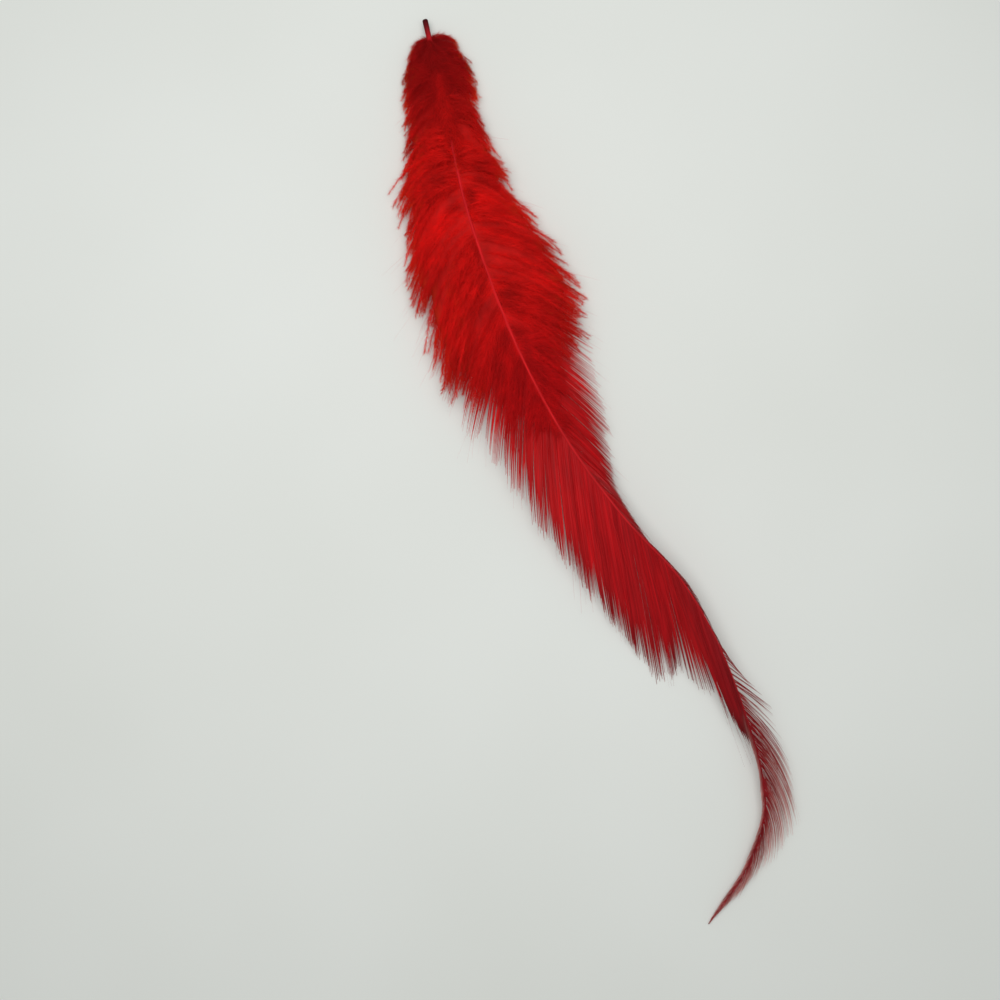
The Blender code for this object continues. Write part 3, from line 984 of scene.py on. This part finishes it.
def barbules(name, rng, strips, stations, per_mm):
    """Fine points all along threads, standing off them at an angle to all sides."""
    length = np.linalg.norm(strips["end"] - strips["start"], axis=1)
    fade = np.clip((DOWN_TO - stations) / (DOWN_TO - DOWN_FADES_FROM), LEAST_DOWNY, 1.0)
    each = np.maximum((length * per_mm * fade).astype(int), FEWEST_BARBULES)
    owner = np.repeat(np.arange(len(stations)), each)
    count = len(owner)
    along = rng.uniform(FIRST_BARBULE, 1.0, count) * fade[owner] ** 0.5
    t = along[:, None]
    start, bend, end = (strips[label][owner] for label in ("start", "bend", "end"))
    rise = np.interp(along, *zip(*LIFT_SHAPE))[:, None]
    place = start * (1 - t) ** 2 + bend * 2 * t * (1 - t) + end * t**2
    place = place + strips["lift"][owner] * rise + strips["draw"][owner] * t**DRAW_POWER
    forward = unit((bend - start) * (1 - t) + (end - bend) * t)
    spin = unit(np.cross(forward, rng.normal(0, 1, (count, 3))))
    angle = np.radians(rng.normal(BARBULE_LEAN, BARBULE_LEAN_SPREAD, count))[:, None]
    way = forward * np.cos(angle) + spin * np.sin(angle)
    reach = BARBULE_LENGTH * rng.uniform(*BARBULE_LENGTH_SPREAD, count)
    reach *= (1 - SHORTER_AT_END * along**2) * along_shaft(BARBULE_REACH, stations[owner])
    reach = reach[:, None]
    facing = unit(np.cross(way, UP) + rng.normal(0, BARBULE_TILT, (count, 3)))
    zero = np.zeros(count)
    fur = {
        "start": place, "bend": place + way * reach / 2, "end": place + way * reach,
        "lift": np.zeros(3), "draw": np.zeros(3), "thick": np.zeros(3),
        "flat": facing * (1 - THINNER_AT_END * t) * BARBULE_WIDTH / 2,
        "uv_start": np.column_stack([along * MAP_SHARE, stations[owner] / LENGTH, zero]),
        "uv_span": np.array((*MAP_PATCH, 0.0)),
    }
    return grow(name, barbule_tree, down_keratin, fur, BARBULE_SIZES)


# %% Threads
THREAD_WIDTH = 0.05
THREAD_STEP = 0.15  # share of the map that half a thread takes, in millimetres of the shaft
THREAD_SIZES = {
    "Segments": 9, "Taper from": 0.3, "Tip share": 0.3, "Crease": 0.5, "Lowest": 0.05 * MM,
}


def thread_set(rng, curves, lift, stations, draw=0.0):
    """Strips for threads, each turned any way about its own line."""
    turn = rng.uniform(0, 180, len(stations))
    return strip_set(curves, THREAD_WIDTH, turn, lift, stations, THREAD_STEP, draw)


def threads(name, strips):
    return grow(name, barb_tree, down_keratin, strips, THREAD_SIZES)


# %% The down of both sides
DOWN_SPACING = [(3.3, 0.07), (9, 0.10), (15, 0.15), (76, 0.15)]  # (place, gap between threads)
# Share of a barb's length that is downy: short at the shoulders, and where the vane begins
DOWN_REACH = [(BARE_QUILL, 0.64), (4.5, 0.84), (7.0, 1.06), (20, 1.02), (42, 1.0), (76, 0.3)]
DOWN_LENGTHS = (0.72, 1.0, 1.1)  # the shortest, the most common and the longest share
DOWN_STRAY = 4.0
DOWN_PULL = 0.12
DOWN_PULL_SPREAD = (0.3, 1.2)
DOWN_PER_MM = 34.0  # barbules on a millimetre of thread


def down(side, seed):
    """Threads of down on one side and the barbules on them, as two pieces."""
    rng = np.random.default_rng(seed)
    stations = spread_out(BARE_QUILL, DOWN_TO, lambda at: along_shaft(DOWN_SPACING, at))
    count = len(stations)
    share, lean, ridge, middle = lock_at(side, stations)
    share = (1 - (1 - share) * DOWN_GAPS) * rng.triangular(*DOWN_LENGTHS, count)
    share *= along_shaft(DOWN_REACH, stations)
    middle_share, middle_lean, _, _ = lock_at(side, middle)
    lean = lean + rng.normal(0, DOWN_STRAY, count)
    roll = rng.normal(0, DOWN_STRAY, count)
    sweep = along_shaft(DOWN_SWEEP, stations)
    curves = barb_curves(side, stations, share, lean, roll, sweep)
    middles = barb_curves(side, middle, middle_share, middle_lean, roll, sweep)
    draw = drawn_in(curves, middles, DOWN_PULL * rng.uniform(*DOWN_PULL_SPREAD, count))
    above, below = read(FLUFF, stations).T
    layer = rng.uniform(-1, 1, count)
    lift = np.where(layer > 0, layer * above * ridge, layer * below)
    strips = thread_set(rng, curves, lift, stations, draw)
    return [
        threads(f"{side}_down_threads", strips),
        barbules(f"{side}_down_barbules", rng, strips, stations, DOWN_PER_MM),
    ]


pieces += [*down("left", 31), *down("right", 32)]

# %% [markdown]
# ## The mat inside the down
#
# Deep in the down the barbules lie so thick that no light gets through, and no eye can tell
# one from the next. Growing those too would double the triangles for nothing. A closed mat
# with the same locks fills the middle of the fluff, and the threads stand out of it.

# %% The mat's two sheets
MAT_FROM, MAT_TO, MAT_STEP = 5.0, 68.0, 0.5
MAT_ALONG = np.linspace(0.0, 1.0, 16)
MAT_REACH = [(MAT_FROM, 0.5), (9, 0.82), (42, 0.8), (MAT_TO, 0.3)]  # share of the barbs' length
MAT_FILL = [(MAT_FROM, 0.2), (10, 0.7), (DOWN_FADES_FROM, 0.7), (MAT_TO, 0.1)]  # share of the fluff
MAT_END_SQUARED = 1.02  # the mat is as round as a circle that closes just past its edge
MAT_LOWEST = 0.1
MAT_THINNEST = 0.05  # the upper sheet stays this far over the lowest place of the lower one


def mat_side(side, stations):
    """Upper and lower points of the mat on one side, by station and place along the barb."""
    share, lean, ridge, _ = lock_at(side, stations)
    share = (1 - (1 - share) * DOWN_GAPS) * along_shaft(MAT_REACH, stations)
    start, bend, end, up = (
        points[:, None]
        for points in barb_curves(side, stations, share, lean, 0.0, along_shaft(DOWN_SWEEP, stations))
    )
    t = MAT_ALONG[None, :, None]
    middle = start * (1 - t) ** 2 + bend * 2 * t * (1 - t) + end * t**2
    above, below = read(FLUFF, stations).T * along_shaft(MAT_FILL, stations) * ridge
    rise = np.interp(MAT_ALONG, *zip(*LIFT_SHAPE)) * np.sqrt(MAT_END_SQUARED - MAT_ALONG**2)
    sheets = []
    for height, lowest in ((above, MAT_LOWEST + MAT_THINNEST), (-below, MAT_LOWEST)):
        sheet = middle + up * (height[:, None] * rise)[..., None]
        sheet[..., 2] = np.maximum(sheet[..., 2], lowest)
        sheets.append(sheet)
    return sheets


# %% The mat
def build_mat():
    stations = np.arange(MAT_FROM, MAT_TO, MAT_STEP)
    left, right = mat_side("left", stations), mat_side("right", stations)
    sheets = [np.concatenate([a[:, ::-1], b[:, 1:]], axis=1) for a, b in zip(left, right)]
    across = np.concatenate([MAT_ALONG[::-1], MAT_ALONG[1:]])
    shell = bmesh.new()
    uv = shell.loops.layers.uv.new(UV_MAP)
    grids = [[[shell.verts.new(p * MM) for p in row] for row in sheet] for sheet in sheets]
    places = {}
    for grid in grids:
        for station, row in zip(stations, grid):
            places.update({vert: (u, station / LENGTH) for vert, u in zip(row, across)})

    def band(near, far):
        """Faces between two rows of points."""
        for a, b, c, d in zip(near, near[1:], far[1:], far):
            for loop in shell.faces.new((a, b, c, d)).loops:
                loop[uv].uv = places[loop.vert]

    for grid in grids:
        for near, far in zip(grid, grid[1:]):
            band(near, far)
    top, under = grids
    for edge in (0, -1):
        band([row[edge] for row in top], [row[edge] for row in under])
    for row in (0, -1):
        band(top[row], under[row])
    return closed_shell("down_mat", shell, down_keratin)


pieces.append(build_mat())

# %% [markdown]
# ## Loose tufts on the down
#
# Handling and dyeing leave the down ruffled: some tufts lie on top, cover the shaft near
# the quill, or splay out where the vane begins. They are more of the same threads and
# barbules, gathered in small fans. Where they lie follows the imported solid's own tufts.

# %% Where the tufts lie
TUFTS_FROM = 8.0
TUFTS_TO = 66.0
TUFT_SPACING = 7.0
TUFT_LENGTH = (0.6, 0.95)
TUFT_LEAN = 16
TUFT_RISE = (0.4, 1.5)
# Columns: side, distance along the shaft, share of a barb's length, extra lean
SPLAYED = [
    ("right", 60.0, 0.55, 48),
    ("right", 67.0, 0.45, 62),
    ("left", 70.0, 0.5, 26),
    ("right", 74.0, 0.5, 30),
]


def tuft_rows():
    """Side, station, share of length, extra lean and rise of each tuft."""
    rng = np.random.default_rng(SEED + 1)
    rows = []
    for station in np.arange(TUFTS_FROM, TUFTS_TO, TUFT_SPACING):
        for side in SIDES:
            place = station + rng.uniform(0, TUFT_SPACING)
            lean = rng.uniform(-TUFT_LEAN, TUFT_LEAN)
            rows.append((side, place, rng.uniform(*TUFT_LENGTH), lean, rng.uniform(*TUFT_RISE)))
    return rows + [(*row, TUFT_RISE[1]) for row in SPLAYED]


# %% Tufts
TUFT_THREADS = 22
TUFT_WIDTH = 0.9  # how far along the shaft a tuft's threads spread
TUFT_SHARES = (0.5, 0.85)
TUFT_FAN = 5
TUFT_SWEEP = 0.8
TUFT_RISES = (0.3, 1.0)
TUFT_LIFTS = (0.6, 1.1)


def tuft(rng, side, station, share, lean, rise):
    """One small fan of threads, with the station of each."""
    count = TUFT_THREADS
    stations = station + rng.normal(0, TUFT_WIDTH, count)
    shares = share * rng.uniform(*TUFT_SHARES, count)
    leans = lean + rng.normal(0, TUFT_FAN, count)
    start, bend, end, up = barb_curves(side, stations, shares, leans, 0.0, TUFT_SWEEP)
    end = end + up * rise * rng.uniform(*TUFT_RISES, (count, 1))
    lift = read(FLUFF, stations)[:, 0] * rng.uniform(*TUFT_LIFTS, count)
    return thread_set(rng, (start, bend, end, up), lift, stations) | {"stations": stations}


# %% Threads that cover the shaft
COVER_THREADS = 150  # threads a side that close over the shaft near the quill
COVER_FROM, COVER_TO = 5.0, 22.0
COVER_BACK, COVER_ABOVE = 1.3, 0.75  # they start across the shaft from their own side, and above
COVER_SHARES = (0.55, 0.95)
COVER_LEANS = (-62, -30)
COVER_SWEEP = 0.6
COVER_LIFTS = (0.3, 1.2)


def cover(rng, side):
    """The threads of one side, with the station of each."""
    count = COVER_THREADS
    stations = rng.uniform(COVER_FROM, COVER_TO, count)
    shares, leans = rng.uniform(*COVER_SHARES, count), rng.uniform(*COVER_LEANS, count)
    start, bend, end, up = barb_curves(side, stations, shares, leans, 0.0, COVER_SWEEP)
    start = start - unit(end - start) * COVER_BACK + up * COVER_ABOVE
    lift = rng.uniform(*COVER_LIFTS, count)
    return thread_set(rng, (start, bend, end, up), lift, stations) | {"stations": stations}


# %% All the loose down
LOOSE_PER_MM = 20.0  # barbules on a millimetre of thread


def joined(sets):
    """One set of arrays from several."""
    return {label: np.concatenate([one[label] for one in sets]) for label in sets[0]}


def loose_down(seed):
    rng = np.random.default_rng(seed)
    sets = [tuft(rng, *row) for row in tuft_rows()]
    sets += [cover(rng, side) for side in SIDES]
    strips = joined(sets)
    stations = strips.pop("stations")
    return [
        threads("loose_threads", strips),
        barbules("loose_barbules", rng, strips, stations, LOOSE_PER_MM),
    ]


pieces += loose_down(41)

# %% [markdown]
# ## Stray hairs
#
# No feather keeps all its barbs zipped. A few stand out past the edge of every lock, and
# they are what makes an outline look soft. At the tip, others are short and lie along the
# shaft, so the middle of the tip is darker than its fringe. They are single barbs from the
# same tables, longer or shorter than their neighbours and turned a few degrees away.

# %% Stray hairs
# Columns: side, first and last place on the shaft, how many, share of the length, stray, width
STRAYS = [
    ("left", 60.0, 112.0, 70, (0.97, 1.09), 3.0, 0.06),
    ("left", 8.0, 60.0, 60, (0.95, 1.15), 9.0, 0.035),
    ("right", 8.0, 60.0, 60, (0.95, 1.15), 9.0, 0.035),
    ("right", 72.0, 96.0, 40, (1.0, 1.25), 4.0, 0.05),
    ("right", 123.5, 133.5, 12, (0.95, 1.12), 2.0, 0.12),
    ("right", 133.0, 172.0, 50, (0.9, 1.07), 3.0, 0.05),
    ("left", 112.0, 134.0, 26, (0.95, 1.35), 1.2, 0.05),
    ("right", 131.0, 174.0, 230, (0.2, 0.6), 1.5, 0.11),
    ("left", 136.0, 174.0, 120, (0.5, 1.2), 1.0, 0.07),
]
STRAY_LIFTS = (0.1, 0.7)
STRAY_TURN = 40
STRAY_SIZES = {
    "Segments": 14, "Taper from": 0.4, "Tip share": 0.25, "Crease": 0.5, "Lowest": 0.03 * MM,
}


def stray_hairs(seed):
    rng = np.random.default_rng(seed)
    sets = []
    for side, first, last, count, shares, stray, width in STRAYS:
        stations = np.sort(rng.uniform(first, last, count))
        curves = barb_curves(side, stations, rng.uniform(*shares, count), rng.normal(0, stray, count))
        lift = rng.uniform(*STRAY_LIFTS, count)
        turn = rng.uniform(-STRAY_TURN, STRAY_TURN, count)
        sets.append(strip_set(curves, width, turn, lift, stations, THREAD_STEP))
    return grow("stray_hairs", barb_tree, vane_keratin, joined(sets), STRAY_SIZES)


pieces.append(stray_hairs(51))

# %% Everything rides on the one body and stands for the one node
for piece in pieces:
    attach(piece, "root")
    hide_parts("feather")
print("pieces:", len(pieces))

# %% [markdown]
# ## The surface
#
# The ground in the photograph is pale, faintly grey-green and without a pattern. A painted
# board or a sheet of thick paper looks like that: matt, and hardly uneven in tone. A plane
# large enough to fill the picture is all it needs.

# %% Floor
FLOOR_SIZE = 2.4
PAPER_TONES = [(0.3, "#E2E4DF"), (0.7, "#E7E9E5")]
PAPER_SCALE = 14.0  # tones change over about 70 mm


def build_floor():
    bpy.ops.mesh.primitive_plane_add(size=FLOOR_SIZE, location=(0, 0, 0))
    thing = bpy.context.object
    thing.name = "floor"
    material, tree, shader = new_material("pale_paper", {"Roughness": 0.7})
    place = add(tree, "ShaderNodeTexCoord").outputs["Object"]
    noise = add(tree, "ShaderNodeTexNoise", inputs={"Vector": place, "Scale": PAPER_SCALE})
    tree.links.new(dye(tree, PAPER_TONES, noise.outputs[0]), shader.inputs["Base Color"])
    thing.data.materials.append(material)
    return thing


build_floor()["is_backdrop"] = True

# %% [markdown]
# ## Light and camera
#
# The light comes from everywhere, and a little more from overhead on the quill's side. A
# sun would draw hard shadows that the photograph doesn't have, so a bright even sky and one
# wide soft lamp light the feather. The camera looks straight down, as in the photograph.

# %% Light
SKY = ("#F2F6F4", 0.38)  # colour and strength
LAMP_SIZE = 0.28
LAMP_ENERGY = 0.59
LAMP_PLACE = (-0.03, 0.05, 0.27)

world = bpy.data.worlds.new("sky")
bpy.context.scene.world = world
world.use_nodes = True
world.node_tree.nodes["Background"].inputs[0].default_value = linear(SKY[0])
world.node_tree.nodes["Background"].inputs[1].default_value = SKY[1]

panel = bpy.data.lights.new("panel", "AREA")
panel.size = LAMP_SIZE
panel.energy = LAMP_ENERGY
lamp = placed("panel", panel)
lamp.location = LAMP_PLACE
lamp.rotation_euler = (-Vector(LAMP_PLACE)).to_track_quat("-Z", "Y").to_euler()

# %% Camera
FRAME_WIDTH = 0.175  # the picture shows this much of the surface, at the height below
MIDDLE_HEIGHT = 0.001
LENS = 50.0
SENSOR = 36.0
NEAREST = 0.01
camera = placed("camera", bpy.data.cameras.new("camera"))
camera.data.lens = LENS
camera.data.sensor_width = SENSOR
camera.data.clip_start = NEAREST
camera.location = (-CENTRE[0] * MM, -CENTRE[1] * MM, MIDDLE_HEIGHT + FRAME_WIDTH * LENS / SENSOR)
bpy.context.scene.camera = camera
bpy.context.scene.view_settings.view_transform = "Standard"

# %% Sizes, and the end
model_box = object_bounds()
for label, box in (("solid", cad_box), ("model", model_box)):
    print(label, [[round(value * 1000, 2) for value in corner] for corner in box])
